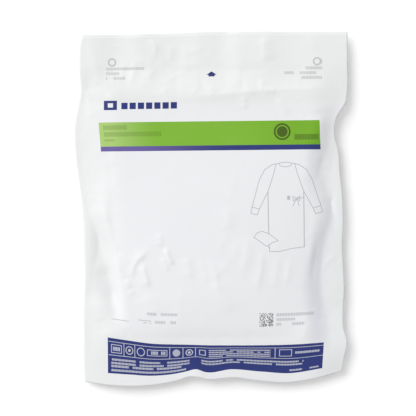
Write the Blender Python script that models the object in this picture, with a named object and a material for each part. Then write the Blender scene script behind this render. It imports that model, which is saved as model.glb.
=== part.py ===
"""A sealed film packet that holds one folded surgical gown, lying on its back.

Two webs of white film are cut to one size and heat-sealed to each other along both sides, the bottom
and a peel line. Above the peel line they run on as two loose header flaps. The folded gown fills the
hollow between them. +X is the packet's right, +Y its header end and +Z up, in metres, with the
origin on the resting surface under the middle of the packet.
"""

import math

import bmesh
import bpy
import numpy as np

MM = 0.001

# Driving sizes, in millimetres.
WALL = 1.0  # how thick each web is drawn
GAP = 0.3  # left between pieces that touch
FLAP_STEP = 2.0  # how far the back flap's edge shows past the front flap's

GOWN_MIDDLE_Y = -7.0
GOWN_LENGTH = 278.0
GOWN_WIDTH = 224.0  # halfway up; the stack of folds is a little wider towards the header
GOWN_TAPER = 0.055  # how much the half width gains on each millimetre towards the header
GOWN_CORNER = 36.0
GOWN_LAYERS = 5
LAYER_HEIGHT = 3.2
LAYER_BULGE = 1.8  # how far the fold edge of each layer stands out past the creases between them
SHOULDER = 18.0  # how far in from the gown's edge its rounding starts

PEEL_LINE_Y = 156.0  # where the two webs meet above the gown
HEADER_RISE = 2.5  # how far the middle of the header stands above its own edges
# Shares of the margins round the gown at which the webs have met.
LEFT_SEAL, RIGHT_SEAL, BOTTOM_SEAL = 0.92, 0.9, 0.8
WRAP = 1.2  # over 1, the webs hold to the gown's rounded shoulder before they part from it
BACK_LIFTS = 0.06  # share of the way from the gown's shoulder to the seal where the back web lifts

# A trough in the front web grows between the first two shares of the way from the gown's shoulder to
# the seal, and is gone between the last two.
TROUGH_START, TROUGH_FULL = 0.3, 0.5
TROUGH_FADES, TROUGH_GONE = 0.85, 1.3

COLUMNS = 36
ROWS = 46
CROWDING = 0.42  # how much closer the grid lines lie at the edges, where the webs bend
RING_STEPS = 4  # rings up each layer of the gown
CORNER_STEPS = 6
CAP_SHARES = (0.8, 0.6, 0.4, 0.2)  # the rings of the gown's top, as shares of its outline
SWELL_POWER = 4  # the higher, the fewer of the gown's layers the swell of its top reaches down
FOLD_EDGE = math.radians(40)  # the gown's faces are shaded as one round below this angle

GOWN_FLOOR = WALL + GAP
GOWN_THICKNESS = GOWN_LAYERS * LAYER_HEIGHT
GOWN_TOP = GOWN_FLOOR + GOWN_THICKNESS
GOWN_BOTTOM_Y = GOWN_MIDDLE_Y - GOWN_LENGTH / 2
GOWN_TOP_Y = GOWN_MIDDLE_Y + GOWN_LENGTH / 2

# The gown's bulk: how far the middle of its top stands above the edge of its top layer.
BULK_COLUMNS = ("y", "height")
BULK = (
    (-146.0, 0.0),
    (-118.0, 4.6),
    (-60.0, 6.2),
    (0.0, 5.4),
    (62.0, 2.4),
    (104.0, 0.2),
    (132.0, 0.0),
)

# The long edges: the place along the packet, then each edge's x and its height above the surface.
SIDE_COLUMNS = ("y", "left_x", "left_z", "right_x", "right_z")
SIDES = (
    (-200.0, -144.0, 6.0, 149.0, 8.5),
    (-182.0, -145.0, 6.5, 152.0, 11.0),
    (-165.0, -145.0, 7.2, 155.0, 11.8),
    (-148.0, -145.0, 8.0, 151.0, 11.0),
    (-128.0, -145.0, 9.0, 150.6, 10.0),
    (-104.0, -144.6, 9.8, 151.8, 10.2),
    (-73.0, -144.0, 10.5, 150.6, 10.4),
    (-50.0, -144.5, 10.2, 149.5, 10.8),
    (-25.0, -145.0, 9.5, 150.5, 11.2),
    (9.0, -147.5, 7.0, 149.6, 10.8),
    (36.0, -151.0, 6.0, 147.1, 10.0),
    (64.0, -154.4, 6.5, 144.8, 10.3),
    (76.0, -155.2, 7.0, 141.6, 10.8),
    (92.0, -155.3, 7.8, 140.8, 11.4),
    (105.0, -154.2, 8.5, 144.6, 11.6),
    (119.0, -151.6, 9.0, 153.0, 11.5),
    (133.0, -148.8, 8.5, 155.3, 10.8),
    (166.0, -150.2, 7.0, 155.5, 10.2),
    (188.0, -149.5, 7.5, 155.5, 9.6),
    (203.0, -147.2, 8.0, 155.3, 9.0),
)

# The short edges: the place across the packet, then each edge's y and its height above the surface.
END_COLUMNS = ("x", "bottom_y", "bottom_z", "top_y", "top_z")
ENDS = (
    (-145.0, -197.0, 6.0, 199.0, 8.0),
    (-129.0, -199.5, 8.0, 198.9, 9.0),
    (-105.0, -201.9, 9.6, 198.6, 8.5),
    (-78.0, -201.8, 9.6, 199.2, 10.5),
    (-55.0, -199.3, 9.2, 199.6, 9.5),
    (-36.0, -195.2, 9.6, 200.4, 9.0),
    (-25.0, -191.4, 10.4, 201.0, 10.0),
    (-15.0, -191.6, 11.4, 201.4, 11.0),
    (-4.0, -194.4, 10.6, 201.9, 10.0),
    (14.0, -193.2, 10.8, 201.9, 9.5),
    (27.0, -192.2, 11.0, 201.9, 10.5),
    (50.0, -195.2, 10.4, 201.9, 12.0),
    (88.0, -198.0, 9.2, 201.9, 9.5),
    (118.0, -193.7, 9.8, 201.9, 10.0),
    (152.0, -185.0, 8.5, 201.9, 9.0),
)

# Folds in the front web: a soft trough or ridge between two points, its half width and its height.
FOLD_COLUMNS = ("name", "x0", "y0", "x1", "y1", "half_width", "height")
FOLDS = (
    ("left_valley_upper", -137.0, -10.0, -127.0, -56.0, 10.0, -3.5),
    ("left_valley_lower", -125.0, -62.0, -115.0, -124.0, 11.0, -5.5),
    ("left_shoulder", -109.0, -48.0, -99.0, -118.0, 8.0, 1.6),
    ("left_brow", -124.0, 36.0, -115.0, -18.0, 9.0, 1.4),
    ("right_brow", 124.0, 66.0, 129.0, 18.0, 10.0, -2.5),
    ("right_valley_upper", 135.0, -10.0, 124.0, -54.0, 10.0, -1.8),
    ("right_valley_lower", 122.0, -60.0, 119.0, -134.0, 9.0, -2.0),
    ("neck_dart", 141.0, 112.0, 112.0, 104.0, 9.0, -3.0),
    ("lower_pleat", -76.0, -96.0, -62.0, -124.0, 10.0, 1.4),
    ("middle_pleat", 6.0, -78.0, 24.0, -120.0, 11.0, 1.4),
    ("header_ridge", -44.0, 128.0, 146.0, 139.0, 8.0, 2.4),
    ("header_fold_left", -66.0, 196.0, -50.0, 158.0, 9.0, 1.4),
    ("header_fold_middle", 28.0, 198.0, 36.0, 158.0, 10.0, 1.8),
    ("header_fold_right", 58.0, 198.0, 68.0, 166.0, 9.0, 1.2),
)


def column(rows, names, name):
    """One named column of a table, as an array."""
    place = names.index(name)
    return np.array([row[place] for row in rows], float)


def smooth_read(places, values, at):
    """Reads a table on a smooth curve through its rows."""
    slopes = np.gradient(values, places)
    at = np.clip(at, places[0], places[-1])
    row = np.clip(np.searchsorted(places, at) - 1, 0, len(places) - 2)
    step = places[row + 1] - places[row]
    f = (at - places[row]) / step
    return (
        (2 * f**3 - 3 * f**2 + 1) * values[row]
        + (f**3 - 2 * f**2 + f) * step * slopes[row]
        + (3 * f**2 - 2 * f**3) * values[row + 1]
        + (f**3 - f**2) * step * slopes[row + 1]
    )


def fade(value, start, end):
    """Runs smoothly from 0 where the value is at its start to 1 where it is at its end."""
    f = np.clip((value - start) / (end - start), 0.0, 1.0)
    return f * f * (3 - 2 * f)


def edge(rows, names, along, wanted, share):
    """Named columns of an edge table at a share of the edge's run, from its first row to its last."""
    places = column(rows, names, along)
    at = places[0] + (places[-1] - places[0]) * share
    return [smooth_read(places, column(rows, names, name), at) for name in wanted]


def seam_surface(s, t):
    """The sheet in which the webs meet: s runs across the packet and t up it, both from 0 to 1."""
    left_x, left_z, right_x, right_z = edge(SIDES, SIDE_COLUMNS, "y", SIDE_COLUMNS[1:], t)
    bottom_y, bottom_z, top_y, top_z = edge(ENDS, END_COLUMNS, "x", END_COLUMNS[1:], s)
    x = left_x + (right_x - left_x) * s
    y = bottom_y + (top_y - bottom_y) * t
    corners = (
        (1 - s) * (1 - t) * SIDES[0][2] + (1 - s) * t * SIDES[-1][2]
        + s * (1 - t) * SIDES[0][4] + s * t * SIDES[-1][4]
    )
    z = (1 - s) * left_z + s * right_z + (1 - t) * bottom_z + t * top_z - corners
    shoulder_y = GOWN_TOP_Y - SHOULDER
    header = fade(y, GOWN_MIDDLE_Y, shoulder_y) * (1 - (2 * s - 1) ** 2)
    fall = 1 - np.clip((y - shoulder_y) / (top_y - shoulder_y), 0, 1)
    return x, y, z + HEADER_RISE * header * fall


def gown_half_width(y):
    """Half the folded gown's width at a place along the packet."""
    return GOWN_WIDTH / 2 + GOWN_TAPER * (y - GOWN_MIDDLE_Y)


def swell(x, y):
    """How far the gown's top stands above the edge of its top layer."""
    bulk = smooth_read(column(BULK, BULK_COLUMNS, "y"), column(BULK, BULK_COLUMNS, "height"), y)
    return bulk * np.clip(1 - (x / gown_half_width(y)) ** 2, 0, 1)


def seal_reach(x, y, s, t):
    """0 on the gown inside its shoulder, 1 where the webs have met, and beyond 1 in the seals."""
    left_x, right_x = edge(SIDES, SIDE_COLUMNS, "y", ("left_x", "right_x"), t)
    (bottom_y,) = edge(ENDS, END_COLUMNS, "x", ("bottom_y",), s)
    half = gown_half_width(y)
    left_run = SHOULDER + (-half - left_x) * LEFT_SEAL
    right_run = SHOULDER + (right_x - half) * RIGHT_SEAL
    lower_run = SHOULDER + (GOWN_BOTTOM_Y - bottom_y) * BOTTOM_SEAL
    upper_run = PEEL_LINE_Y - GOWN_TOP_Y + SHOULDER
    left = (SHOULDER - half - x) / left_run
    right = (x - half + SHOULDER) / right_run
    lower = (GOWN_BOTTOM_Y + SHOULDER - y) / lower_run
    upper = (y - GOWN_TOP_Y + SHOULDER) / upper_run
    across = np.clip(np.maximum(left, right), 0, None)
    along = np.clip(np.maximum(lower, upper), 0, None)
    return np.cbrt(across**3 + along**3)


def fold_height(x, y):
    """The height that the folds add to the front web: the ridges' share, then the troughs'."""
    ridges, troughs = np.zeros_like(x), np.zeros_like(x)
    for row in FOLDS:
        fold = dict(zip(FOLD_COLUMNS, row))
        run = np.array([fold["x1"] - fold["x0"], fold["y1"] - fold["y0"]])
        length = math.hypot(*run)
        along = ((x - fold["x0"]) * run[0] + (y - fold["y0"]) * run[1]) / length**2
        off = ((y - fold["y0"]) * run[0] - (x - fold["x0"]) * run[1]) / length
        ends = np.clip(np.abs(along - 0.5) - 0.5, 0, None) * length
        shape = fold["height"] * np.exp(-(off**2 + ends**2) / fold["half_width"] ** 2)
        ridges += np.maximum(shape, 0)
        troughs += np.minimum(shape, 0)
    return ridges, troughs


def back_top(x, y, z, reach):
    """The upper face of the back web: flat under the gown, then up to the seam."""
    return WALL + (z - WALL) * fade(reach, BACK_LIFTS, 1) ** WRAP


def front_under(x, y, z, reach):
    """The lower face of the front web: on the gown, then down to the seam."""
    ridges, troughs = fold_height(x, y)
    troughs *= fade(reach, TROUGH_START, TROUGH_FULL) * fade(reach, TROUGH_GONE, TROUGH_FADES)
    sheet = GOWN_TOP + (z - GOWN_TOP) * fade(reach, 0, 1) ** WRAP
    lowest = back_top(x, y, z, reach)
    return GAP + np.maximum(sheet + troughs, lowest) + swell(x, y) + ridges


def crowded(share):
    """Grid lines from 0 to 1 that lie closer together near both ends."""
    return share - CROWDING * np.sin(2 * math.pi * share) / (2 * math.pi)


def web(name, height, top_share, outward, material):
    """One web: a grid on the seam sheet, lifted to its height, with its thickness laid outward."""
    mesh = bpy.data.meshes.new(name)
    bm = bmesh.new()
    grid = []
    for row in range(ROWS + 1):
        t = np.full(COLUMNS + 1, crowded(row / ROWS) if row < ROWS else top_share)
        s = crowded(np.arange(COLUMNS + 1) / COLUMNS)
        x, y, z = seam_surface(s, t)
        z = height(x, y, z, seal_reach(x, y, s, t))
        grid.append([bm.verts.new((x[i] * MM, y[i] * MM, z[i] * MM)) for i in range(len(s))])
    for below, above in zip(grid, grid[1:]):
        for i in range(COLUMNS):
            bm.faces.new((below[i], below[i + 1], above[i + 1], above[i]))
    bm.to_mesh(mesh)
    bm.free()
    mesh.shade_smooth()
    sheet = bpy.data.objects.new(name, mesh)
    bpy.context.scene.collection.objects.link(sheet)
    sheet.data.materials.append(material)
    solid = sheet.modifiers.new("thickness", "SOLIDIFY")
    solid.thickness = WALL * MM
    solid.offset = outward
    solid.use_even_offset = False


def rounded_outline(inset):
    """The folded gown's outline, inset from its largest size, anticlockwise."""
    radius = GOWN_CORNER - inset
    points = []
    for turn, (sign_x, sign_y) in enumerate(((1, 1), (-1, 1), (-1, -1), (1, -1))):
        centre_y = GOWN_MIDDLE_Y + sign_y * (GOWN_LENGTH / 2 - GOWN_CORNER)
        centre_x = sign_x * (gown_half_width(centre_y) - GOWN_CORNER)
        for step in range(CORNER_STEPS + 1):
            angle = (turn + step / CORNER_STEPS) * math.pi / 2
            points.append((centre_x + radius * math.cos(angle), centre_y + radius * math.sin(angle)))
    return np.array(points)


def ring(bm, outline, heights):
    """The vertices of one ring of the gown's skin, from millimetres."""
    return [bm.verts.new((x * MM, y * MM, z * MM)) for (x, y), z in zip(outline, heights)]


def folded_gown(name, material):
    """The folded gown: one rounded solid whose side shows the edges of its stacked folds."""
    mesh = bpy.data.meshes.new(name)
    bm = bmesh.new()
    rings = []
    for level in range(GOWN_LAYERS * RING_STEPS + 1):
        rise = level / RING_STEPS * LAYER_HEIGHT
        dent = LAYER_BULGE * (1 - math.sin(math.pi * (level % RING_STEPS) / RING_STEPS))
        from_middle = abs(2 * rise / GOWN_THICKNESS - 1)
        rounding = SHOULDER * (1 - math.sqrt(1 - from_middle**2))
        outline = rounded_outline(dent + rounding)
        lift = swell(*outline.T) * (rise / GOWN_THICKNESS) ** SWELL_POWER
        rings.append(ring(bm, outline, GOWN_FLOOR + rise + lift))
    middle = np.array((0.0, GOWN_MIDDLE_Y))
    for share in CAP_SHARES:
        inner = middle + (outline - middle) * share
        rings.append(ring(bm, inner, GOWN_TOP + swell(*inner.T)))
    for below, above in zip(rings, rings[1:]):
        for i in range(len(below)):
            j = (i + 1) % len(below)
            bm.faces.new((below[i], below[j], above[j], above[i]))
    bm.faces.new(list(reversed(rings[0])))
    bm.faces.new(rings[-1])
    bm.to_mesh(mesh)
    bm.free()
    mesh.shade_smooth()
    mesh.set_sharp_from_angle(angle=FOLD_EDGE)
    gown = bpy.data.objects.new(name, mesh)
    bpy.context.scene.collection.objects.link(gown)
    gown.data.materials.append(material)


def finish(name, colour, roughness):
    """A plain finish in one colour."""
    material = bpy.data.materials.new(name)
    material.use_nodes = True
    shader = material.node_tree.nodes["Principled BSDF"]
    shader.inputs["Base Color"].default_value = (*colour, 1.0)
    shader.inputs["Roughness"].default_value = roughness
    shader.inputs["Metallic"].default_value = 0.0
    return material


for old in list(bpy.data.objects):
    bpy.data.objects.remove(old)

front_length = ENDS[-1][3] - ENDS[-1][1]
front_share = 1 - FLAP_STEP / front_length
web("front_web", front_under, front_share, 1.0, finish("white_film", (0.86, 0.87, 0.87), 0.42))
web("back_web", back_top, 1.0, -1.0, finish("plain_film", (0.84, 0.85, 0.86), 0.48))
folded_gown("folded_gown", finish("gown_cloth", (0.20, 0.42, 0.62), 0.90))
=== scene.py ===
"""A sealed film packet with a folded surgical gown inside, dressed as its photograph shows it.

The gown is a bundle of blue nonwoven with its folds at the side. The two webs are thin films on the
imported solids' forms, with each crease in the film's own mesh and the print laid out on the flat film.
"""

import math

import bpy
import numpy as np
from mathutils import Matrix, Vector, noise


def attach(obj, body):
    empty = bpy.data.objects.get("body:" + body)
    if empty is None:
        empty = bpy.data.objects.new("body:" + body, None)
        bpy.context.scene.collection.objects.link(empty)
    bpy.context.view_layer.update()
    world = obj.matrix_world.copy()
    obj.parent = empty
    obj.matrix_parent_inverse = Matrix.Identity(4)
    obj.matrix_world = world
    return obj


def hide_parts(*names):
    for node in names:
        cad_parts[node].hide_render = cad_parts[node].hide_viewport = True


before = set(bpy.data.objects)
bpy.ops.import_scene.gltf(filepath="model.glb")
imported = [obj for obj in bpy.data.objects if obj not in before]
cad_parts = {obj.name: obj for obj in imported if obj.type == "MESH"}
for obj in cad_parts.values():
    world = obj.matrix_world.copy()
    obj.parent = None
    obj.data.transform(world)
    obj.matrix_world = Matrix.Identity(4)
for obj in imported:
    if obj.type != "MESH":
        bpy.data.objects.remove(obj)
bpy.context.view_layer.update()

# The table, the lights and the camera. The packet lies on a plain white table. A soft lamp stands to
# the upper left of it and the white room fills the shade. The camera looks straight down.

MM = 0.001
CAMERA_HEIGHT = 2.6
FRAME_WIDTH = 0.474  # how much of the table the photograph's width takes in
FRAME_MIDDLE = (-0.0037, 0.00125)
FRAME_LEVEL = 0.01
SENSOR = 36.0
LAMP_FROM = (-0.5825, 0.558, 0.588)
LAMP_STRENGTH = 2.14
LAMP_SPREAD = math.radians(50)
ROOM_STRENGTH = 0.67
TABLE_GLOW = 0.08  # the table is of white glass, lit a little from below
TABLE_SIZE = 4.0
TABLE_LEVEL = -0.0002


class Wire:
    """A shader socket that Python's operators work on, each adding its Math node."""

    def __init__(self, tree, socket=None):
        self.tree = tree
        self.socket = socket

    def node(self, kind, settings, sockets, output=0):
        """Adds a node: first its settings, then the values or links of its sockets."""
        node = self.tree.nodes.new("ShaderNode" + kind)
        for name, value in settings.items():
            setattr(node, name, value)
        for name, value in sockets.items():
            if isinstance(value, Wire):
                self.tree.links.new(value.socket, node.inputs[name])
            else:
                node.inputs[name].default_value = value
        return Wire(self.tree, node.outputs[output])

    def maths(self, operation, *terms):
        return self.node("Math", {"operation": operation}, dict(enumerate(terms)))

    def __add__(self, other):
        return self.maths("ADD", self, other)

    def __sub__(self, other):
        return self.maths("SUBTRACT", self, other)

    def __rsub__(self, other):
        return self.maths("SUBTRACT", other, self)

    def __mul__(self, other):
        return self.maths("MULTIPLY", self, other)

    def __truediv__(self, other):
        return self.maths("DIVIDE", self, other)

    def __mod__(self, other):
        return self.maths("FLOORED_MODULO", self, other)

    def __gt__(self, other):
        return self.maths("GREATER_THAN", self, other)

    def __lt__(self, other):
        return self.maths("LESS_THAN", self, other)

    def __abs__(self):
        return self.maths("ABSOLUTE", self)

    __radd__ = __add__
    __rmul__ = __mul__

    def near(self, middle, reach):
        """1 within reach of the middle, and 0 further off."""
        return self.maths("COMPARE", self, middle, reach)

    def most(self, other):
        return self.maths("MAXIMUM", self, other)

    def whole(self):
        return self.maths("FLOOR", self)

    def eased(self, low, high, start=0.0, end=1.0):
        """Runs smoothly from start where the value is low to end where it is high."""
        return self.node(
            "MapRange",
            {"interpolation_type": "SMOOTHSTEP"},
            {"Value": self, "From Min": low, "From Max": high, "To Min": start, "To Max": end},
        )

    def tinted(self, under, over):
        """A colour: under where this mask is 0, over where it is 1."""
        return self.node("Mix", {"data_type": "RGBA"}, {0: self, 6: under, 7: over}, 2)


def colour(*srgb):
    """A colour as a picture gives it, from 0 to 255, in the shader's own values."""
    shares = [value / 255 for value in srgb]
    return (*[c / 12.92 if c <= 0.04045 else ((c + 0.055) / 1.055) ** 2.4 for c in shares], 1.0)


def finish(name, constants):
    """A material with its shader's constant values set, and a wire to begin its nodes from."""
    material = bpy.data.materials.new(name)
    material.use_nodes = True
    shader = material.node_tree.nodes["Principled BSDF"]
    for socket, value in constants.items():
        shader.inputs[socket].default_value = value
    return material, shader, Wire(material.node_tree)


def feed(shader, **wires):
    """Links wires to the shader's sockets, named with underscores for their spaces."""
    for name, wire in wires.items():
        wire.tree.links.new(wire.socket, shader.inputs[name.replace("_", " ")])


def add_mesh(name, points, faces, materials):
    """A new smooth object from points in millimetres."""
    mesh = bpy.data.meshes.new(name)
    mesh.from_pydata((np.asarray(points) * MM).tolist(), [], faces)
    mesh.shade_smooth()
    piece = bpy.data.objects.new(name, mesh)
    bpy.context.scene.collection.objects.link(piece)
    for material in materials:
        mesh.materials.append(material)
    return piece


table_white, shader, start = finish(
    "table_white",
    {
        "Roughness": 0.75,
        "Specular IOR Level": 0.2,
        "Emission Color": (1, 1, 1, 1),
        "Emission Strength": TABLE_GLOW,
    },
)
place = start.node("TexCoord", {}, {}, 3)
mottle = start.node("TexNoise", {}, {"Vector": place, "Scale": 9.0, "Detail": 3.0})
feed(shader, Base_Color=mottle.tinted((0.95, 0.95, 0.95, 1), (0.96, 0.96, 0.96, 1)))
half = TABLE_SIZE / MM / 2
corners = [(-half, -half), (half, -half), (half, half), (-half, half)]
table = add_mesh("table", [(x, y, TABLE_LEVEL / MM) for x, y in corners], [(0, 1, 2, 3)], [table_white])

lamp = bpy.data.lights.new("lamp", "SUN")
lamp.energy = LAMP_STRENGTH
lamp.angle = LAMP_SPREAD
lamp_stand = bpy.data.objects.new("lamp", lamp)
lamp_stand.rotation_euler = Vector(LAMP_FROM).to_track_quat("Z", "Y").to_euler()
bpy.context.scene.collection.objects.link(lamp_stand)

room = bpy.data.worlds.new("room")
room.use_nodes = True
room.node_tree.nodes["Background"].inputs["Color"].default_value = (1, 1, 1, 1)
room.node_tree.nodes["Background"].inputs["Strength"].default_value = ROOM_STRENGTH
bpy.context.scene.world = room

view = bpy.data.cameras.new("camera")
view.sensor_width = SENSOR
view.lens = SENSOR * CAMERA_HEIGHT / FRAME_WIDTH
camera = bpy.data.objects.new("camera", view)
camera.location = (*FRAME_MIDDLE, CAMERA_HEIGHT + FRAME_LEVEL)
bpy.context.scene.collection.objects.link(camera)
bpy.context.scene.camera = camera
bpy.context.scene.view_settings.view_transform = "Standard"

# The folded gown. It is sewn from blue nonwoven, embossed all over with small bond points, and is
# folded by hand into one flat bundle of five soft layers that the sealed webs hold in place.

GOWN_MIDDLE_Y = -7.0
GOWN_LENGTH = 278.0
GOWN_WIDTH = 224.0
GOWN_TAPER = 0.055
GOWN_CORNER = 36.0
GOWN_FLOOR = 0.5
GOWN_TOP = 17.3
GOWN_LAYERS = 5
LAYER_BULGE = 1.8
SHOULDER = 18.0
SWELL_POWER = 4
RING_STEPS = 8
RING_POINTS = 320
CAP_RINGS = 44
BULK = (  # along the packet, then how far the middle of the bundle's top swells
    (-146.0, 0.0),
    (-118.0, 4.6),
    (-60.0, 6.2),
    (0.0, 5.4),
    (62.0, 2.4),
    (104.0, 0.2),
    (132.0, 0.0),
)
GOWN_BOTTOM_Y = GOWN_MIDDLE_Y - GOWN_LENGTH / 2
GOWN_TOP_Y = GOWN_MIDDLE_Y + GOWN_LENGTH / 2


def smooth_read(rows, place, at):
    """Reads one column of a table on a smooth curve along its first column."""
    places, values = np.array([(row[0], row[place]) for row in rows], float).T
    slopes = np.gradient(values, places)
    at = np.clip(at, places[0], places[-1])
    row = np.clip(np.searchsorted(places, at) - 1, 0, len(places) - 2)
    step = places[row + 1] - places[row]
    f = (at - places[row]) / step
    return (
        (2 * f**3 - 3 * f**2 + 1) * values[row]
        + (f**3 - 2 * f**2 + f) * step * slopes[row]
        + (3 * f**2 - 2 * f**3) * values[row + 1]
        + (f**3 - f**2) * step * slopes[row + 1]
    )


def fade(value, start, end):
    """Runs smoothly from 0 where the value is at its start to 1 where it is at its end."""
    f = np.clip((value - start) / (end - start), 0.0, 1.0)
    return f * f * (3 - 2 * f)


def gown_half_width(y):
    return GOWN_WIDTH / 2 + GOWN_TAPER * (y - GOWN_MIDDLE_Y)


def swell(x, y):
    """How far the bundle's top stands above the edge of its top layer."""
    return smooth_read(BULK, 1, y) * np.clip(1 - (x / gown_half_width(y)) ** 2, 0, 1)


def uneven(x, y, size, seed, detail=2):
    """Soft noise over the plan, from about -1 to 1, with waves of the given size."""
    found = [
        noise.fractal((a / size, b / size, seed), 0.9, 2.1, detail)
        for a, b in zip(np.ravel(x), np.ravel(y))
    ]
    return np.reshape(found, np.shape(x))


def rounded_outline(inset):
    """The bundle's outline, inset from its largest size, in equal steps anticlockwise."""
    radius = GOWN_CORNER - inset
    points = []
    for turn, (sign_x, sign_y) in enumerate(((1, 1), (-1, 1), (-1, -1), (1, -1))):
        centre_y = GOWN_MIDDLE_Y + sign_y * (GOWN_LENGTH / 2 - GOWN_CORNER)
        centre_x = sign_x * (gown_half_width(centre_y) - GOWN_CORNER)
        for angle in np.linspace(turn, turn + 1, 17) * math.pi / 2:
            points.append((centre_x + radius * math.cos(angle), centre_y + radius * math.sin(angle)))
    points = np.array(points + points[:1])
    run = np.concatenate([[0], np.cumsum(np.hypot(*np.diff(points, axis=0).T))])
    at = np.linspace(0, run[-1], RING_POINTS, endpoint=False)
    return np.stack([np.interp(at, run, points[:, 0]), np.interp(at, run, points[:, 1])], 1)


rings = []
thickness = GOWN_TOP - GOWN_FLOOR
for level in range(GOWN_LAYERS * RING_STEPS + 1):
    share = level / (GOWN_LAYERS * RING_STEPS)
    layer, step = divmod(level, RING_STEPS)
    dent = LAYER_BULGE * (1 - math.sin(math.pi * step / RING_STEPS))
    rounding = SHOULDER * (1 - math.sqrt(1 - abs(2 * share - 1) ** 2))
    outline = rounded_outline(rounding + 1.5)
    middle = np.array((0.0, GOWN_MIDDLE_Y))
    inward = (middle - outline) / np.hypot(*(middle - outline).T)[:, None]
    slack = np.clip(1.4 + 1.4 * uneven(*outline.T, 45.0, 3.0 * layer), 0, None)
    outline = outline + inward * (dent + slack * math.sin(math.pi * step / RING_STEPS))[:, None]
    lift = swell(*outline.T) * share**SWELL_POWER
    rings.append(np.column_stack([outline, GOWN_FLOOR + thickness * share + lift]))
for ring in range(1, CAP_RINGS):
    inner = middle + (outline - middle) * (1 - ring / CAP_RINGS)
    x, y = inner.T
    wrinkle = 0.35 * (1 + uneven(x, y, 38.0, 9.0)) + 0.5 * fade(x, 34.0, 37.0) * fade(y, 120, 100)
    level = GOWN_TOP + swell(x, y) - np.clip(wrinkle, 0, 1.2) * ring / CAP_RINGS
    rings.append(np.column_stack([inner, level]))
faces = []
for ring in range(len(rings) - 1):
    for i in range(RING_POINTS):
        j = (i + 1) % RING_POINTS
        first = ring * RING_POINTS
        faces.append((first + i, first + j, first + RING_POINTS + j, first + RING_POINTS + i))
faces.append(tuple(reversed(range(RING_POINTS))))
last = (len(rings) - 1) * RING_POINTS
faces.append(tuple(range(last, last + RING_POINTS)))

gown_cloth, shader, start = finish(
    "gown_cloth", {"Roughness": 0.9, "Specular IOR Level": 0.25, "Sheen Weight": 0.25}
)
place = start.node("TexCoord", {}, {}, 3)
bond = start.node("TexVoronoi", {"feature": "F1"}, {"Vector": place, "Scale": 620.0, "Randomness": 0.1})
fibres = start.node("TexNoise", {}, {"Vector": place, "Scale": 1500.0, "Detail": 4.0})
shade = start.node("TexNoise", {}, {"Vector": place, "Scale": 22.0, "Detail": 3.0})
cloth = shade.tinted(colour(92, 142, 190), colour(112, 160, 204))
point = bond.eased(0.2, 0.42, 1.0, 0.0)
cloth = (point * 0.45).tinted(cloth, colour(74, 120, 170))
height = fibres * 0.35 - point
bump = start.node("Bump", {}, {"Strength": 0.5, "Distance": 0.00012, "Height": height})
feed(shader, Base_Color=cloth, Normal=bump, Roughness=point.eased(0, 1, 0.92, 0.7))
gown = add_mesh("folded_gown_cloth", np.concatenate(rings), faces, [gown_cloth])
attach(gown, "root")
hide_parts("folded_gown")

# The back web. It is plain white polyethylene film, cut square with the front web and heat-sealed to
# it along both sides, the bottom and the peel line. It lies flat under the gown and lifts at its edges.

FLAT_WIDTH = 305.0
FLAT_LENGTH = 406.0
FILM = 0.3
SEAL = 10.0  # the width of the heat seals along the edges
SEAL_RIB = 1.6
COLUMNS = 180
ROWS = 238
PEEL_LINE_Y = 163.0
HEADER_RISE = 2.5
LEFT_SEAL, RIGHT_SEAL, BOTTOM_SEAL = 0.92, 0.9, 0.8
WRAP = 1.2
BACK_LIFTS = 0.06
SIDES = (  # along the packet, then the left edge's x and height, and the right edge's
    (-200.0, -144.0, 6.0, 149.0, 8.5),
    (-182.0, -145.0, 6.5, 152.0, 11.0),
    (-165.0, -145.0, 7.2, 155.0, 11.8),
    (-148.0, -145.0, 8.0, 151.0, 11.0),
    (-128.0, -145.0, 9.0, 150.6, 10.0),
    (-104.0, -144.6, 9.8, 151.8, 10.2),
    (-73.0, -144.0, 10.5, 150.6, 10.4),
    (-50.0, -144.5, 10.2, 149.5, 10.8),
    (-25.0, -145.0, 9.5, 150.5, 11.2),
    (9.0, -147.5, 7.0, 149.6, 10.8),
    (36.0, -151.0, 6.0, 147.1, 10.0),
    (64.0, -154.4, 6.5, 144.8, 10.3),
    (76.0, -155.2, 7.0, 141.6, 10.8),
    (92.0, -155.3, 7.8, 140.8, 11.4),
    (105.0, -154.2, 8.5, 144.6, 11.6),
    (119.0, -151.6, 9.0, 153.0, 11.5),
    (133.0, -148.8, 8.5, 155.3, 10.8),
    (166.0, -150.2, 7.0, 155.5, 10.2),
    (188.0, -149.5, 7.5, 155.5, 9.6),
    (203.0, -147.2, 8.0, 155.3, 9.0),
)
ENDS = (  # across the packet, then the bottom edge's y and height, and the top edge's
    (-145.0, -197.0, 6.0, 199.0, 8.0),
    (-129.0, -199.5, 8.0, 198.9, 9.0),
    (-105.0, -201.9, 9.6, 198.6, 8.5),
    (-78.0, -201.8, 9.6, 199.2, 10.5),
    (-55.0, -199.3, 9.2, 199.6, 9.6),
    (-36.0, -195.2, 9.6, 200.4, 9.4),
    (-25.0, -191.4, 10.4, 201.0, 9.8),
    (-15.0, -191.6, 11.4, 201.4, 10.2),
    (-4.0, -194.4, 10.6, 201.9, 10.0),
    (14.0, -193.2, 10.8, 201.9, 9.5),
    (27.0, -192.2, 11.0, 201.9, 10.5),
    (50.0, -195.2, 10.4, 201.9, 11.2),
    (88.0, -198.0, 9.2, 201.9, 9.8),
    (118.0, -193.7, 9.8, 201.9, 10.0),
    (152.0, -185.0, 8.5, 201.9, 9.0),
)


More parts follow.
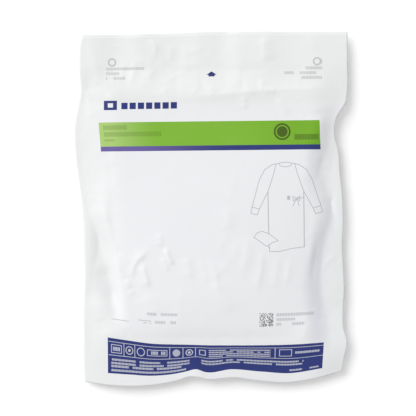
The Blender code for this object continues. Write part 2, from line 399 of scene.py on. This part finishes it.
def seam_surface(s, t):
    """The sheet in which the webs meet: s runs across the packet and t up it, both from 0 to 1."""
    at_y = SIDES[0][0] + (SIDES[-1][0] - SIDES[0][0]) * t
    at_x = ENDS[0][0] + (ENDS[-1][0] - ENDS[0][0]) * s
    left_x, left_z, right_x, right_z = [smooth_read(SIDES, place, at_y) for place in (1, 2, 3, 4)]
    bottom_y, bottom_z, top_y, top_z = [smooth_read(ENDS, place, at_x) for place in (1, 2, 3, 4)]
    x = left_x + (right_x - left_x) * s
    y = bottom_y + (top_y - bottom_y) * t
    corners = (
        (1 - s) * (1 - t) * SIDES[0][2] + (1 - s) * t * SIDES[-1][2]
        + s * (1 - t) * SIDES[0][4] + s * t * SIDES[-1][4]
    )
    z = (1 - s) * left_z + s * right_z + (1 - t) * bottom_z + t * top_z - corners
    shoulder_y = GOWN_TOP_Y - SHOULDER
    header = fade(y, GOWN_MIDDLE_Y, shoulder_y) * (1 - (2 * s - 1) ** 2)
    fall = 1 - np.clip((y - shoulder_y) / (top_y - shoulder_y), 0, 1)
    half = gown_half_width(y)
    left = (SHOULDER - half - x) / (SHOULDER + (-half - left_x) * LEFT_SEAL)
    right = (x - half + SHOULDER) / (SHOULDER + (right_x - half) * RIGHT_SEAL)
    lower = (GOWN_BOTTOM_Y + SHOULDER - y) / (SHOULDER + (GOWN_BOTTOM_Y - bottom_y) * BOTTOM_SEAL)
    upper = (y - GOWN_TOP_Y + SHOULDER) / (PEEL_LINE_Y - GOWN_TOP_Y + SHOULDER)
    across = np.clip(np.maximum(left, right), 0, None)
    along = np.clip(np.maximum(lower, upper), 0, None)
    return x, y, z + HEADER_RISE * header * fall, np.cbrt(across**3 + along**3)


def crease_height(creases, x, y):
    """What the creases add to a film. Each is a path, how far it spreads to its left and to its right,
    its height and its crispness."""
    ridges, troughs = np.zeros_like(x), np.zeros_like(x)
    for path, left_width, right_width, height, crispness in creases:
        path = np.array(path, float)
        steps = np.diff(path, axis=0)
        lengths = np.hypot(*steps.T)
        total, done = lengths.sum(), 0.0
        nearest, share, half_width = np.full_like(x, 1e9), np.zeros_like(x), np.ones_like(x)
        for (x0, y0), (dx, dy), length in zip(path, steps, lengths):
            f = np.clip(((x - x0) * dx + (y - y0) * dy) / length**2, 0, 1)
            away = np.hypot(x - x0 - f * dx, y - y0 - f * dy)
            closer = away < nearest
            nearest = np.where(closer, away, nearest)
            share = np.where(closer, (done + f * length) / total, share)
            half_width = np.where(closer, np.where(x < x0 + f * dx, left_width, right_width), half_width)
            done += length
        ends = fade(share, 0, 0.3) * fade(share, 1, 0.7) * 0.9 + 0.1
        shape = height * ends * np.exp(-((nearest / half_width) ** crispness))
        ridges += np.maximum(shape, 0)
        troughs += np.minimum(shape, 0)
    return ridges, troughs


def random_creases(count, seed, low, high, longest, tallest, widest, lean):
    """Small soft creases strewn over a stretch of film, most of them leaning one way."""
    draw = np.random.RandomState(seed)
    creases = []
    for _ in range(count):
        x, y = draw.uniform(low, high)
        angle = lean + draw.normal(0, 0.6)
        length = longest * draw.uniform(0.35, 1)
        bend = draw.normal(0, 0.22)
        path = [(x, y)]
        for _ in range(2):
            x, y = x + math.cos(angle) * length / 2, y + math.sin(angle) * length / 2
            path.append((x, y))
            angle += bend
        sign = 1 if draw.rand() < 0.55 else -1
        width = widest * draw.uniform(0.45, 1)
        creases.append((path, width, width, sign * tallest * draw.uniform(0.25, 1), 1.35))
    return creases


def film_web(name, x, y, z, u, v, outward, materials):
    """A thin closed film on a grid of points, with its thickness laid outward. Its UVs are the places on
    the flat film, u across it and v up it, as shares of its size."""
    points = np.stack([x, y, z], -1)
    across = np.gradient(points, axis=1)
    along = np.gradient(points, axis=0)
    normal = np.cross(across, along)
    normal *= outward / np.linalg.norm(normal, axis=-1, keepdims=True)
    rows, columns = x.shape
    inner = points.reshape(-1, 3)
    outer = (points + normal * FILM).reshape(-1, 3)
    number = np.arange(rows * columns).reshape(rows, columns)
    quads = np.stack([number[:-1, :-1], number[:-1, 1:], number[1:, 1:], number[1:, :-1]], -1).reshape(-1, 4)
    rim = np.concatenate([number[0, :-1], number[:-1, -1], number[-1, :0:-1], number[:0:-1, 0]])
    after = np.roll(rim, -1)
    shift = rows * columns
    sides = np.stack([rim, after, after + shift, rim + shift], -1)
    inner_faces, outer_faces = quads[:, ::-1], quads + shift
    if outward < 0:
        inner_faces, outer_faces, sides = quads, quads[:, ::-1] + shift, sides[:, ::-1]
    faces = np.concatenate([outer_faces, inner_faces, sides])
    piece = add_mesh(name, np.concatenate([inner, outer]), faces.tolist(), materials)
    flat = np.tile(np.stack([u / FLAT_WIDTH, v / FLAT_LENGTH], -1).reshape(-1, 2), (2, 1))
    layer = piece.data.uv_layers.new(name="flat")
    layer.uv.foreach_set("vector", flat[faces.ravel()].astype(np.float32).ravel())
    back = np.zeros(len(faces), np.int32)
    back[len(outer_faces):] = len(materials) - 1
    piece.data.polygons.foreach_set("material_index", back)
    return piece


def film_relief(start, u, v):
    """The film's fine relief: a faint crinkle all over and a close emboss in the heat seals."""
    place = start.node("CombineXYZ", {}, {0: u, 1: v})
    crinkle = start.node(
        "TexNoise",
        {"noise_type": "RIDGED_MULTIFRACTAL"},
        {"Vector": place, "Scale": 0.055, "Detail": 4.0, "Roughness": 0.45, "Distortion": 0.6},
    )
    grain = start.node("TexNoise", {}, {"Vector": place, "Scale": 1.9, "Detail": 2.0})
    edge = u.maths("MINIMUM", u, FLAT_WIDTH - u)
    edge = edge.maths("MINIMUM", edge, v)
    sealed = edge < SEAL
    rising, falling = (u + v) / SEAL_RIB, (u - v) / SEAL_RIB
    rib = u.maths("PINGPONG", rising, 1.0) * u.maths("PINGPONG", falling, 1.0)
    loose = edge.eased(62.0, 34.0).most(v.eased(306.0, 330.0))
    return crinkle * (loose + 0.55) + grain * 0.06 + sealed * rib * 0.12


plain_film, shader, start = finish("plain_film", {"Roughness": 0.42, "Specular IOR Level": 0.35})
flat = start.node("UVMap", {"uv_map": "flat"}, {})
u = flat.node("SeparateXYZ", {}, {0: flat}, 0) * FLAT_WIDTH
v = flat.node("SeparateXYZ", {}, {0: flat}, 1) * FLAT_LENGTH
relief = film_relief(start, u, v)
bump = start.node("Bump", {}, {"Strength": 0.35, "Distance": 0.0006, "Height": relief})
place = start.node("CombineXYZ", {}, {0: u, 1: v})
cloud = start.node("TexNoise", {}, {"Vector": place, "Scale": 0.02, "Detail": 3.0})
feed(
    shader,
    Base_Color=cloud.tinted((0.765, 0.775, 0.775, 1), (0.785, 0.79, 0.795, 1)),
    Roughness=cloud.eased(0.3, 0.7, 0.38, 0.46),
    Normal=bump,
)

s, t = np.meshgrid(np.linspace(0, 1, COLUMNS + 1), np.linspace(0, 1, ROWS + 1))
x, y, seam_z, reach = seam_surface(s, t)
lift = fade(reach, BACK_LIFTS, 1) ** WRAP
crumple = sum(crease_height(random_creases(60, 21, (-150, -200), (150, 200), 60, 0.9, 6, 1.4), x, y))
crumple = crumple * fade(reach, 0.25, 0.9)
low = np.clip((seam_z - FILM) * lift + crumple * 0.6, 0, None)
back = film_web("back_film", x, y, low + FILM, s * FLAT_WIDTH, t * FLAT_LENGTH, -1.0, [plain_film])
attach(back, "root")
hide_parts("back_web")

# The front web. It is the same film, 2 mm shorter so that the back flap shows past it, drawn tight over
# the gown and creased in its loose margins, and printed in green and navy before it is cut and sealed.

FLAP_STEP = 2.0
SNUG = 0.08  # how far the front film lies off what is under it
TROUGH_START, TROUGH_FULL = 0.08, 0.5
TROUGH_FADES, TROUGH_GONE = 0.85, 1.3
RIGHT_FALL = (  # along the packet, then where the film falls steepest on the right and over what reach
    (-165.0, 0.60, 0.26),
    (-130.0, 0.56, 0.24),
    (-109.0, 0.49, 0.22),
    (-86.0, 0.46, 0.21),
    (-52.0, 0.50, 0.17),
    (-30.0, 0.57, 0.22),
    (-8.0, 0.66, 0.28),
    (12.0, 0.60, 0.30),
    (33.0, 0.52, 0.30),
    (67.0, 0.54, 0.32),
    (92.0, 0.66, 0.34),
    (115.0, 0.60, 0.40),
    (140.0, 0.50, 0.50),
)
LAST_FALL = 0.2  # the share of that fall that the loose margin keeps, out to the seal
RIGHT_SLOPE_FOOT = (
    (126.3, 78.8),
    (127.4, 46.9),
    (130.8, 24.1),
    (138.8, -3.3),
    (132.0, -21.5),
    (127.4, -35.2),
    (126.3, -60.3),
    (124.0, -80.8),
    (125.1, -99.1),
    (133.1, -117.3),
    (133.1, -149.2),
)
LEFT_VALLEY = ((-138.0, -2.0), (-123.0, -50.0), (-112.0, -88.0), (-103.0, -125.0), (-99.5, -146.0))
FOLDS = (  # the larger folds: path, widths to its left and right, height, crispness
    (LEFT_VALLEY, 14.0, 12.0, -3.4, 2.0),
    (((-123.0, -62.0), (-110.0, -105.0), (-108.0, -112.0)), 14.0, 9.0, -1.3, 2.0),
    (((-136.0, -92.0), (-124.5, -115.0), (-116.5, -133.0), (-106.0, -158.0)), 15.0, 12.0, 1.4, 2.0),
    (((-109.0, -48.0), (-99.0, -118.0)), 8.0, 8.0, 0.8, 2.0),
    (((-124.0, 36.0), (-115.0, -18.0)), 9.0, 9.0, 0.5, 2.0),
    (RIGHT_SLOPE_FOOT, 6.0, 10.0, -0.9, 1.6),
    (((-96.0, -138.0), (0.0, -147.0), (96.0, -140.0)), 20.0, 20.0, 1.5, 2.0),
    (((-76.0, -96.0), (-62.0, -124.0)), 10.0, 10.0, 0.6, 2.0),
    (((6.0, -78.0), (24.0, -120.0)), 11.0, 11.0, 0.6, 2.0),
    (((-44.0, 128.0), (146.0, 139.0)), 12.0, 9.0, 0.6, 2.0),
    (((-66.0, 196.0), (-50.0, 158.0)), 9.0, 9.0, 0.7, 2.0),
    (((28.0, 198.0), (36.0, 158.0)), 10.0, 10.0, 0.5, 2.0),
    (((58.0, 198.0), (68.0, 166.0)), 9.0, 9.0, 0.6, 2.0),
)
LEFT_BROW = (
    (-123.4, 21.8),
    (-120.0, -5.6),
    (-115.4, -23.8),
    (-109.7, -44.3),
    (-105.2, -67.1),
    (-101.7, -94.5),
)
LEFT_FLOOR = (
    (-140.5, -3.3),
    (-129.1, -27.2),
    (-123.4, -48.9),
    (-117.7, -71.7),
    (-112.0, -92.2),
    (-105.2, -117.3),
)
CREASES = (  # the smaller creases, in the same columns
    (LEFT_BROW, 7.0, 3.5, 0.8, 1.4),
    (LEFT_FLOOR, 8.0, 3.5, -0.8, 1.4),
    (((-69.8, -45.5), (-76.7, -52.3), (-83.5, -58.0), (-88.1, -66.0), (-90.3, -80.8)), 6.0, 2.6, 1.08, 1.4),
    (((-78.9, -61.4), (-74.4, -75.1), (-69.8, -89.9)), 6.0, 2.6, 1.49, 1.4),
    (((-52.7, -43.2), (-48.2, -53.5), (-42.5, -64.9)), 3.0, 2.4, 1.49, 1.3),
    (((-58.4, -27.2), (-56.1, -43.2)), 7.0, 2.6, 0.68, 1.4),
    (((-56.1, -53.5), (-51.6, -62.6), (-48.2, -71.7)), 4.0, 2.6, 0.68, 1.3),
    (((-49.3, -82.0), (-48.7, -102.5), (-52.7, -117.3)), 3.0, 8.0, -1.08, 1.4),
    (((-28.8, -52.3), (-25.4, -64.9), (-23.1, -80.8)), 8.0, 5.0, 0.7, 1.5),
    (((-15.1, -55.7), (-8.3, -71.7), (-6.0, -86.5)), 3.5, 7.0, 0.5, 1.4),
    (((-8.3, -60.3), (0.9, -64.9), (5.4, -74.0), (7.7, -96.8)), 5.0, 3.5, 0.7, 1.4),
    (((-97.2, -79.7), (-90.3, -89.9)), 4.0, 2.6, 0.81, 1.3),
    (((-94.9, -93.4), (-85.8, -95.6)), 3.0, 3.0, 0.54, 1.3),
    (((-109.7, -85.4), (-105.2, -101.3), (-102.9, -117.3)), 5.0, 4.0, -0.9, 1.4),
    (((-99.5, -127.6), (-93.8, -146.9)), 3.0, 5.0, -1.08, 1.4),
    (((-126.8, -123.0), (-120.0, -141.2)), 4.0, 4.0, -0.7, 1.4),
    (((-105.2, -48.9), (-92.6, -64.9)), 5.0, 4.0, 0.5, 1.4),
    (((57.9, -44.3), (56.7, -67.1), (53.3, -83.1), (51.0, -95.6)), 6.0, 4.0, 0.8, 1.5),
    (((75.0, -48.9), (73.8, -69.4), (70.4, -92.2)), 5.0, 6.0, 0.5, 1.5),
    (((88.6, -54.6), (87.5, -71.7), (84.1, -88.8)), 4.0, 5.0, 0.6, 1.4),
    (((41.9, -26.1), (39.6, -52.3), (33.9, -74.0)), 4.0, 8.0, 0.5, 1.5),
    (((44.2, -123.0), (44.2, -148.1)), 3.0, 6.0, -0.81, 1.4),
    (((16.8, 3.5), (21.4, -26.1)), 8.0, 6.0, 0.5, 1.6),
    (((120.6, -30.7), (118.3, -53.5), (114.9, -71.7), (116.0, -87.7)), 3.0, 4.0, -0.81, 1.4),
    (((122.8, 110.7), (124.0, 61.7)), 12.0, 9.0, 2.2, 1.8),
    (((128.5, 65.1), (124.0, 46.9), (120.6, 29.8)), 4.0, 7.0, -0.9, 1.4),
    (((136.5, 14.9), (138.8, -7.9)), 3.0, 5.0, -1.08, 1.4),
    (((-35.6, 126.7), (24.8, 131.2), (55.6, 134.6), (151.3, 139.2)), 4.0, 4.0, 0.5, 1.3),
    (((-68.7, 196.2), (-63.0, 184.8), (-64.1, 170.0)), 6.0, 2.6, 0.68, 1.3),
    (((-45.9, 189.4), (-47.0, 166.6)), 3.0, 6.0, 0.54, 1.4),
    (((38.5, 198.5), (41.9, 183.7), (47.6, 170.0), (54.4, 157.4)), 5.0, 3.0, -0.81, 1.4),
    (((60.1, 200.8), (60.1, 166.6)), 3.0, 8.0, 0.5, 1.5),
    (((56.1, 148.3), (57.9, 133.5)), 2.4, 5.0, 0.75, 1.3),
    (((57.9, 135.8), (75.0, 133.5)), 3.0, 3.0, 0.81, 1.3),
    (((-133.7, 142.6), (-123.4, 136.9), (-115.4, 126.7)), 2.6, 2.6, -0.55, 1.3),
    (((-142.8, 141.5), (-135.9, 132.4)), 2.6, 2.6, -0.35, 1.3),
    (((-117.7, 196.2), (-116.6, 173.4)), 4.0, 4.0, -0.5, 1.4),
    (((-3.7, 140.3), (4.3, 128.9)), 2.6, 4.0, 0.4, 1.3),
    (((73.8, 126.7), (87.5, 106.1)), 2.6, 5.0, 0.68, 1.3),
    (((37.3, 128.9), (38.5, 113.0)), 6.0, 3.0, 0.68, 1.4),
    (((-141.6, 139.2), (-137.1, 109.6)), 3.0, 3.0, 0.45, 1.3),
)

SMALL_CREASES = (  # how many, seed, low and high corners, longest, tallest, widest and lean
    (44, 5, (-120, -150), (120, 110), 70, 0.32, 9, -1.4),
    (34, 8, (-140, 125), (150, 205), 50, 0.5, 6, -1.45),
    (14, 11, (112, -130), (146, 110), 45, 0.4, 5, -1.5),
    (12, 17, (-146, -130), (-120, 110), 50, 0.4, 5, -1.45),
)

top_share = 1 - FLAP_STEP / (ENDS[-1][3] - ENDS[-1][1])
s, t = np.meshgrid(np.linspace(0, 1, COLUMNS + 1), np.linspace(0, top_share, ROWS + 1))
x, y, seam_z, reach = seam_surface(s, t)
ridges, troughs = crease_height(FOLDS + CREASES, x, y)
troughs = troughs * fade(reach, TROUGH_START, TROUGH_FULL) * fade(reach, TROUGH_GONE, TROUGH_FADES)
small = []
for stretch in SMALL_CREASES:
    small += random_creases(*stretch)
small_ridges, small_troughs = crease_height(small, x, y)
fall = fade(reach, 0, 1) ** WRAP
middle, half = [smooth_read(RIGHT_FALL, place, y) for place in (1, 2)]
steep = fade(reach, np.clip(middle - half, 0, 1), middle + half) * (1 - LAST_FALL)
steep = steep + fade(reach, 0, 1) * LAST_FALL
fall = fall + (steep - fall) * fade(x, 40, 90)
sheet = GOWN_TOP + (seam_z - GOWN_TOP) * fall
lowest = seam_z * fade(reach, BACK_LIFTS, 1) ** WRAP
z = np.maximum(sheet + troughs + small_troughs * fade(reach, 0.2, 0.6), lowest) + SNUG
z = z + swell(x, y) + ridges + small_ridges

# Where the printed edges lie on the packet, and on the flat film.
PRINT_SIDES = (  # along the packet, then the print's left and right x
    (-187.0, -117.7, 126.3),
    (-146.0, -117.7, 128.5),
    (71.0, -125.7, 124.0),
    (98.2, -128.0, 122.9),
)
PRINT_ENDS = (  # across the packet, then the y of the foot panel's two edges
    (-145.0, -186.0, -142.0),
    (-117.7, -186.8, -145.8),
    (-94.9, -188.2, -149.2),
    (-67.5, -189.8, -152.9),
    (-44.0, -188.0, -153.8),
    (-28.8, -185.1, -154.1),
    (-16.2, -182.3, -154.5),
    (-7.1, -185.4, -154.7),
    (23.7, -182.3, -154.9),
    (57.9, -184.9, -154.7),
    (88.6, -186.8, -154.0),
    (126.3, -181.1, -151.7),
    (150.0, -177.0, -150.0),
)
BAND_LOW, BAND_HIGH, BAND_SLOPE = 72.2, 99.7, 0.011
PRINT_LEFT, PRINT_RIGHT = 29.0, 283.0
DASH_PITCH, DASH_SHARE, GAPS_SHARE = 1.7, 0.72, 0.1
STEADY_X, STEADY_U = 60.0, 218.0  # the folds at the lower left don't move the print beyond this line
FOOT_LOW, FOOT_HIGH = 10.5, 48.5
FLAT_BAND_LOW, FLAT_BAND_HIGH = 275.0, 303.0

u, v = np.zeros_like(x), np.zeros_like(y)
for row in range(ROWS + 1):
    marks = [smooth_read(PRINT_SIDES, place, y[row, 0]) for place in (1, 2)]
    marks = [x[row, 0], marks[0], STEADY_X, marks[1], x[row, -1]]
    u[row] = np.interp(x[row], marks, (0, PRINT_LEFT, STEADY_U, PRINT_RIGHT, FLAT_WIDTH))
for column in range(COLUMNS + 1):
    across = x[ROWS // 8, column]
    marks = [smooth_read(PRINT_ENDS, place, across) for place in (1, 2)]
    marks += [BAND_LOW + BAND_SLOPE * across, BAND_HIGH + BAND_SLOPE * across]
    marks = [y[0, column], *marks, y[-1, column]]
    flat_marks = (0, FOOT_LOW, FOOT_HIGH, FLAT_BAND_LOW, FLAT_BAND_HIGH, FLAT_LENGTH - FLAP_STEP)
    v[:, column] = np.interp(y[:, column], marks, flat_marks)

printed_film, shader, start = finish("printed_film", {"Roughness": 0.42, "Specular IOR Level": 0.35})
flat = start.node("UVMap", {"uv_map": "flat"}, {})
flat_u = flat.node("SeparateXYZ", {}, {0: flat}, 0) * FLAT_WIDTH
flat_v = flat.node("SeparateXYZ", {}, {0: flat}, 1) * FLAT_LENGTH
flat_place = flat.node("CombineXYZ", {}, {0: flat_u, 1: flat_v})


def block(left, low, right, high):
    """A printed rectangle on the flat film."""
    across = flat_u.near((left + right) / 2, (right - left) / 2)
    return across * flat_v.near((low + high) / 2, (high - low) / 2)


def frame_line(left, low, right, high, line):
    """The outline of a rectangle."""
    inner = block(left + line, low + line, right - line, high - line)
    return block(left, low, right, high) * (1 - inner)


def words(left, low, right, high, word, seed, rows=1, share=1.0):
    """Rows of plain dashes, each as high as its share of its row, with a seeded draw of gaps among them."""
    height = (flat_v - low) / ((high - low) / rows)
    dash = (flat_u / DASH_PITCH) % 1.0 < DASH_SHARE
    spot = flat.node("CombineXYZ", {}, {0: (flat_u / word).whole(), 1: height.whole(), 2: seed})
    kept = start.node("TexWhiteNoise", {"noise_dimensions": "3D"}, {0: spot}) > GAPS_SHARE
    return block(left, low, right, high) * ((height % 1.0) < share) * dash * kept


def together(masks):
    """One mask of several."""
    found, *others = masks
    for mask in others:
        found = found.most(mask)
    return found


def away_from(across, up):
    """How far each place on the flat film lies from a point."""
    return flat.node("VectorMath", {"operation": "DISTANCE"}, {0: flat_place, 1: (across, up, 0)}, 1)


def disc(across, up, radius):
    return away_from(across, up) < radius


def hoop(across, up, radius, line):
    return away_from(across, up).near(radius, line / 2)


def gap_to(here, path):
    """How far a place lies from a path of straight runs."""
    found = None
    for (x0, y0), (x1, y1) in zip(path, path[1:]):
        run = (x1 - x0, y1 - y0, 0)
        unit = [part / (run[0] ** 2 + run[1] ** 2) for part in run]
        off = here.node("VectorMath", {"operation": "SUBTRACT"}, {0: here, 1: (x0, y0, 0)})
        share = off.node("VectorMath", {"operation": "DOT_PRODUCT"}, {0: off, 1: unit}, 1)
        share = share.node("Clamp", {}, {0: share})
        foot = share.node("VectorMath", {"operation": "SCALE"}, {0: run, 3: share})
        gap = foot.node("VectorMath", {"operation": "DISTANCE"}, {0: off, 1: foot}, 1)
        found = gap if found is None else found.maths("MINIMUM", found, gap)
    return found


def stroke(here, path, line):
    """A pen line along a path, seen from a place that may be mirrored."""
    return gap_to(here, path) < line / 2


GOWN_SIDE = (  # where the film touches the right side of the gown, on the flat film
    (294.0, 294.0),
    (278.0, 269.0),
    (275.0, 234.5),
    (280.5, 211.6),
    (288.5, 193.0),
    (281.0, 171.5),
    (275.0, 148.6),
    (271.0, 114.3),
    (272.8, 91.4),
    (276.8, 68.5),
    (278.7, 53.0),
)
cloud = start.node("TexNoise", {}, {"Vector": flat_place, "Scale": 0.02, "Detail": 3.0})
film = cloud.tinted((0.774, 0.780, 0.800, 1), (0.788, 0.792, 0.812, 1))
# Painted shade: the film is made darker near its left edge.
film = flat_u.eased(56.0, 30.0).tinted(film, (0.758, 0.766, 0.770, 1))
# Painted shade: the film's loose right margin is made darker.
right_margin_shade = flat_u.eased(262.0, 290.0) * flat_v.eased(320.0, 300.0)
film = right_margin_shade.tinted(film, (0.738, 0.752, 0.758, 1))
# Where the film lies on the gown's right side it is tinted blue by the gown beneath, and made darker as
# painted shade of that slope.
gown_blue_and_shade = gap_to(flat_place, GOWN_SIDE).eased(17.0, 2.0)
gown_blue_and_shade = gown_blue_and_shade * flat_v.eased(240.0, 130.0, 0.35, 1.0) * flat_v.eased(312.0, 280.0)
film = gown_blue_and_shade.tinted(film, (0.700, 0.714, 0.754, 1))
film = flat_v.eased(318.0, 338.0).tinted(film, (0.763, 0.781, 0.771, 1))
# Painted shade: the loose film across the header is made darker, and darker still towards its left end.
loose = flat_v.eased(318.0, 332.0) * flat_v.eased(375.0, 353.0)
film = loose.tinted(film, (0.742, 0.759, 0.750, 1))
film = (loose * flat_u.eased(85.0, 40.0)).tinted(film, (0.706, 0.720, 0.714, 1))
green = cloud.tinted((0.182, 0.415, 0.022, 1), (0.202, 0.44, 0.034, 1))
# The green is darker towards the right, and paler towards the left as a painted sheen.
green = flat_u.eased(170.0, 270.0).tinted(green, (0.165, 0.395, 0.015, 1))
green = flat_u.eased(100.0, 34.0).tinted(green, (0.36, 0.55, 0.15, 1))
# Painted shade: the green band is made darker where it crosses the gown's right side.
green = (gown_blue_and_shade * 0.7).tinted(green, (0.09, 0.26, 0.015, 1))
NAVY = (0.018, 0.031, 0.170, 1)
GREY = (0.36, 0.37, 0.39, 1)
WHITE = (0.70, 0.72, 0.76, 1)
OLIVE = (0.052, 0.105, 0.002, 1)

# The header: a peel arrow, and a small ring with three rows of small print at each side.
rise = flat_v - 354.6
half_arrow = (rise > 1.9) * (6.0 - (rise - 1.9) * 1.5) + (rise < 1.9) * 3.5
arrow = (abs(flat_u - 158.0) < half_arrow) * rise.near(2.95, 2.95)
HEADER_PRINT = (  # left, low, right and high edge, the length of a word, and the seed of its gaps
    (37, 364.2, 81, 367.6, 6.5, 1),
    (37, 358.6, 53, 362.0, 6.5, 2),
    (37, 353.0, 59, 356.4, 6.5, 3),
    (267, 362.4, 285, 365.8, 6.5, 4),
    (242, 356.8, 285, 360.2, 6.5, 5),
    (262, 351.2, 285, 354.6, 6.5, 6),
)
rings_in_header = [hoop(44, 373.7, 4.0, 2.0), hoop(280.4, 371.8, 4.0, 2.0)]
small_print = together([words(*row) for row in HEADER_PRINT] + rings_in_header)
paint = (small_print * 0.6).tinted(film, GREY)

# A plain square frame and a row of plain blocks, in navy.
blocks = block(55.0, 318.2, 120.0, 325.8) * (((flat_u - 55.0) / 9.4) % 1.0 < 0.76)
square = block(35.0, 317.4, 50.0, 328.4) - block(39.5, 320.4, 45.5, 325.4)
paint = together([arrow, square, blocks]).tinted(paint, NAVY)

# The green band with its navy rule, a plain disc and rows of faint dashes.
paint = block(PRINT_LEFT, FLAT_BAND_LOW, PRINT_RIGHT, FLAT_BAND_HIGH).tinted(paint, green)
BAND_PRINT = (  # in the same columns as the header's
    (34, 294.2, 61, 299.6, 9.0, 7),
    (34, 286.4, 100, 291.8, 9.0, 8),
    (34, 281.0, 46, 283.4, 6.0, 9),
)
faint = together([words(*row) for row in BAND_PRINT]) * 0.35
faint = faint.most(words(253, 280.6, 281, 287.0, 300.0, 10) * 0.75)
paint = faint.tinted(paint, OLIVE)
paint = (disc(239.1, 290.1, 9.8) - hoop(239.1, 290.1, 7.0, 1.4)).tinted(paint, OLIVE)
# Painted sheen: the navy rule is paler towards the left.
rule = flat_u.eased(190.0, 50.0, 0.0, 0.8).tinted(NAVY, (0.16, 0.12, 0.36, 1))
paint = block(PRINT_LEFT, FLAT_BAND_LOW - 5.7, PRINT_RIGHT, FLAT_BAND_LOW).tinted(paint, rule)

# A plain line drawing of a gown, the same on both sides of its middle but for its tie.
here = flat.node("CombineXYZ", {}, {0: abs(flat_u - 242.2), 1: flat_v - 252.0})
side = ((20.0, -30.0), (19.0, -93.2))
sleeve = ((7.5, 2.0), (15.0, 0.5), (23.5, -5.0), (30.0, -17.0), (38.5, -47.0), (29.8, -49.5), (20.0, -30.0))
cuff = ((38.5, -47.0), (40.0, -54.0), (32.5, -56.0), (29.8, -49.5))
armhole = ((10.5, 1.5), (13.5, -10.0), (20.0, -30.0))
neck = ((0.0, 3.2), (7.5, 2.0), (6.0, -1.0), (0.0, -2.2))
drawing = stroke(here, side, 1.0)
for path in (sleeve, cuff, armhole, neck):
    drawing = drawing.most(stroke(here, path, 0.85))
drawing = drawing * (1 - block(221.0, 162.6, 225.0, 173.8))  # the folded sheet lies over this side
here = flat.node("CombineXYZ", {}, {0: flat_u - 242.8, 1: flat_v - 252.0})
hem = ((-19.0, -92.0), (-19.0, -97.6), (-8.0, -97.6), (5.0, -94.6), (19.0, -93.2))
flap_top = ((-37.0, -81.2), (-33.5, -76.5), (-27.5, -74.5), (-20.2, -77.1), (-9.5, -85.4))
flap_foot = ((-9.5, -85.4), (-15.6, -87.5), (-22.0, -91.6), (-37.0, -81.2))
knot = (11.0, -38.0)
tie = ((19.8, -37.5), knot, (7.0, -35.5), (7.5, -41.0), knot, (15.0, -35.5), (14.5, -41.0), knot)
for path in (hem, flap_top, flap_foot, tie, ((7.0, -47.0), knot, (14.0, -46.5))):
    drawing = drawing.most(stroke(here, path, 0.8))
drawing = drawing.most(block(243.6, 212.6, 246.8, 217.0))
paint = (drawing * 0.75).tinted(paint, GREY)

# A patch of scattered dots and short rows of small print near the foot.
dots = flat.node("CombineXYZ", {}, {0: flat_u.whole(), 1: flat_v.whole()})
dots = start.node("TexWhiteNoise", {"noise_dimensions": "2D"}, {0: dots}) > 0.44
patch = dots * block(212.4, 69.6, 227.74, 84.96)
paint = (patch * 0.85).tinted(paint, (0.16, 0.16, 0.17, 1))
LOWER_PRINT = (  # in the same columns as the header's
    (231, 81.0, 271, 84.6, 5.5, 11),
    (231, 75.8, 251, 79.0, 5.5, 12),
    (231, 70.4, 261, 73.8, 5.5, 13),
    (77, 81.0, 114, 84.2, 5.5, 14),
    (86, 71.8, 112, 75.2, 5.5, 15),
    (72, 71.0, 82, 72.6, 4.0, 16),
)
pen_lines = [block(34, 70.6, 55, 71.6), block(66, 73.8, 82, 74.8)]
notes = together([words(*row) for row in LOWER_PRINT] + pen_lines)
paint = (notes * 0.62).tinted(paint, GREY)

# The navy foot panel: white rules, cells with plain shapes, and rows of small print.
paint = block(PRINT_LEFT, FOOT_LOW, PRINT_RIGHT, FOOT_HIGH).tinted(paint, NAVY)
FOOT_PRINT = (  # in the same columns, then how many rows where there are more, and each dash's share of one
    (35, 35.2, 44, 39.4, 3.0, 17),
    (79, 35.4, 99, 39.4, 3.0, 18),
    (151, 31.8, 225, 43.2, 4.2, 19, 4, 0.6),
    (252, 36.2, 279, 39.2, 4.2, 20),
    (33, 20.6, 128, 28.2, 4.2, 21, 2, 0.6),
    (33, 17.2, 118, 19.6, 4.2, 22),
    (33, 12.8, 124, 15.2, 4.2, 23),
    (142, 20.8, 262, 28.2, 4.2, 24, 2, 0.6),
    (246, 13.2, 279, 15.4, 4.2, 25),
)
white_lines = [block(PRINT_LEFT + 1, low, PRINT_RIGHT, low + 0.7) for low in (29.8, 44.3)]
for across in (48.6, 61.7, 104.0, 120.0, 135.1, 230.1):
    white_lines.append(block(across - 0.4, 30.0, across + 0.4, 44.8))
for edges in ((33.0, 32.6, 46.0, 42.0), (76.5, 33.6, 101.0, 41.2), (234.5, 33.0, 248.5, 42.4)):
    white_lines.append(frame_line(*edges, 0.8))
white_lines.append(frame_line(139.5, 33.4, 147.5, 41.4, 1.0))
for across, radius, line in ((55.2, 4.2, 1.0), (69.0, 4.4, 1.0), (127.6, 4.0, 1.2)):
    white_lines.append(hoop(across, 37.4, radius, line))
for across, radius in ((55.2, 1.6), (127.6, 1.8)):
    white_lines.append(disc(across, 37.4, radius))
white_lines.append(disc(112.0, 37.4, 4.6) * 0.8)
white_lines = together(white_lines + [words(*row) for row in FOOT_PRINT])
paint = (white_lines * 0.75).tinted(paint, WHITE)
relief = film_relief(start, flat_u, flat_v)
bump = start.node("Bump", {}, {"Strength": 0.35, "Distance": 0.0006, "Height": relief})
feed(shader, Base_Color=paint, Roughness=cloud.eased(0.3, 0.7, 0.38, 0.46), Normal=bump)

front = film_web("front_film", x, y, z, u, v, 1.0, [printed_film, plain_film])
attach(front, "root")
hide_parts("front_web")
